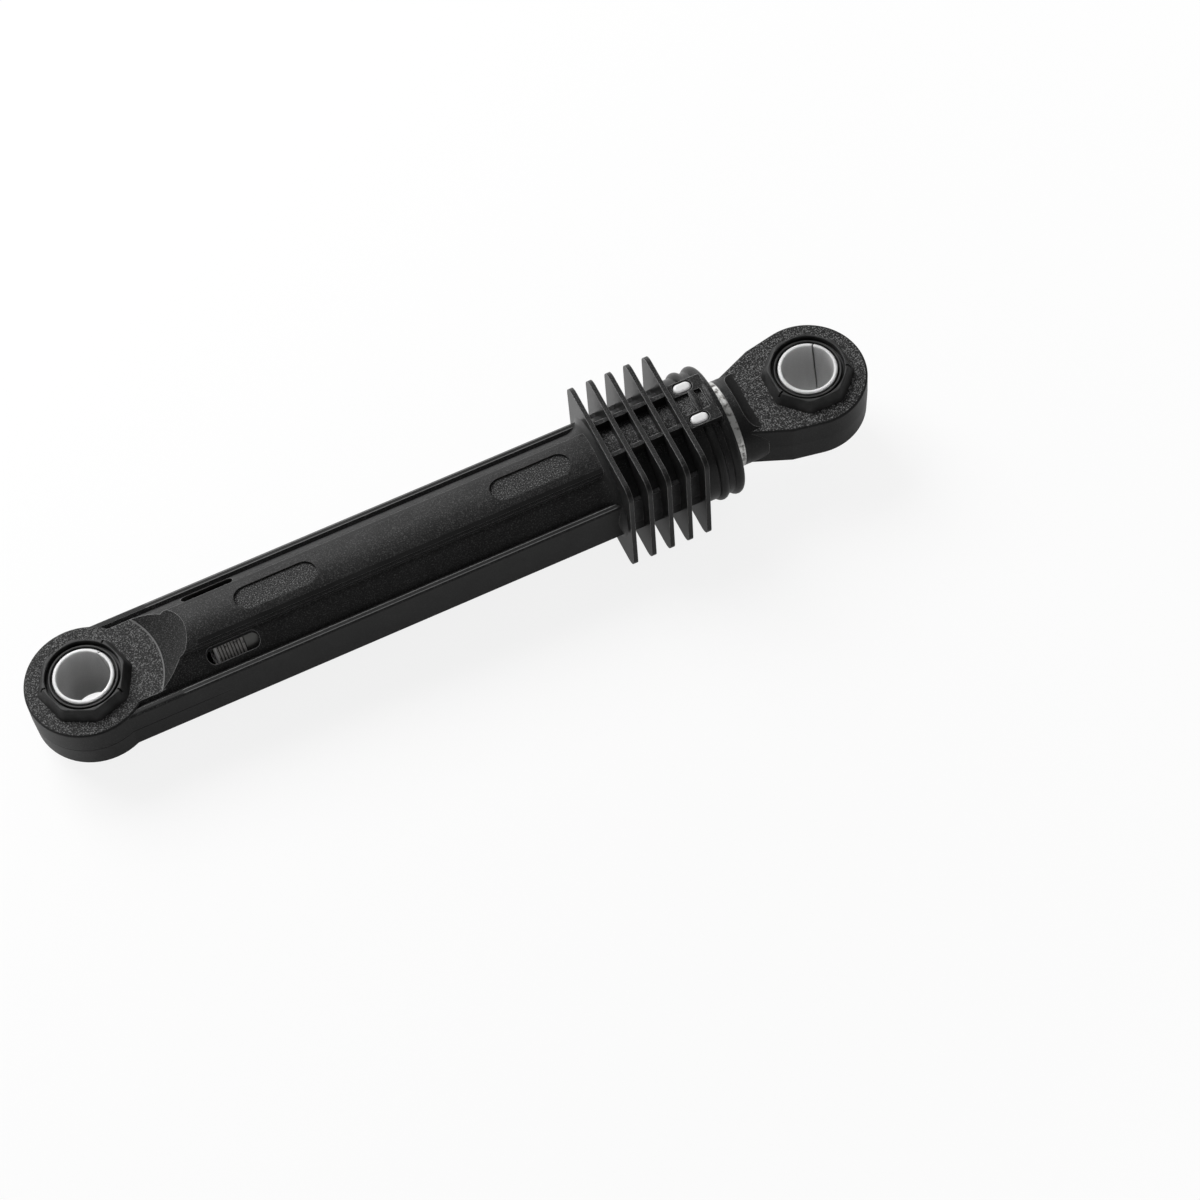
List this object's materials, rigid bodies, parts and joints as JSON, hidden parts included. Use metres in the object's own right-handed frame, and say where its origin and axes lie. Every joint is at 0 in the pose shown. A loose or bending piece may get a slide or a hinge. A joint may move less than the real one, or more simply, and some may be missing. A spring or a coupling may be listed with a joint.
{
  "type": "washing machine shock absorber",
  "caption": "Friction damper with a finned black housing, a sliding steel plunger and a rubber-bushed eye at each end, for a washing machine's drum suspension.",
  "frame": {"origin": "centre of the lower eye's bore, on the housing's parting plane", "axes": "+X along the damper from the lower eye to the upper eye, +Z along the eye bores, +Y across"},
  "size_m": [0.237, 0.0382, 0.0378],
  "materials": {
    "black_nylon": "fine moulded grain",
    "white_acetal": "smooth",
    "grey_acetal": "turned, greased",
    "lining_foam": "greased foam",
    "steel": "drawn tube",
    "black_rubber": "matt"
  },
  "bodies": {
    "housing_unit": {"housing": "black_nylon", "guide_cage": "white_acetal", "friction_lining_top": "lining_foam", "friction_lining_bottom": "lining_foam", "lower_bush": "black_rubber", "lower_sleeve": "white_acetal"},
    "plunger_guide": {"stop_ring": "grey_acetal"},
    "plunger": {"plunger_tube": "steel", "rod_end": "black_nylon", "upper_bush": "black_rubber", "upper_sleeve": "white_acetal"}
  },
  "joints": [
    {"name": "plunger_slide", "type": "slide", "parent": "housing_unit", "child": "plunger_guide", "axis": [1, 0, 0], "range_m": [-0.0025, 0.1037]},
    {"name": "plunger_twist", "type": "hinge", "parent": "plunger_guide", "child": "plunger", "pos_m": [0.1, 0, 0], "axis": [1, 0, 0], "continuous": true}
  ]
}
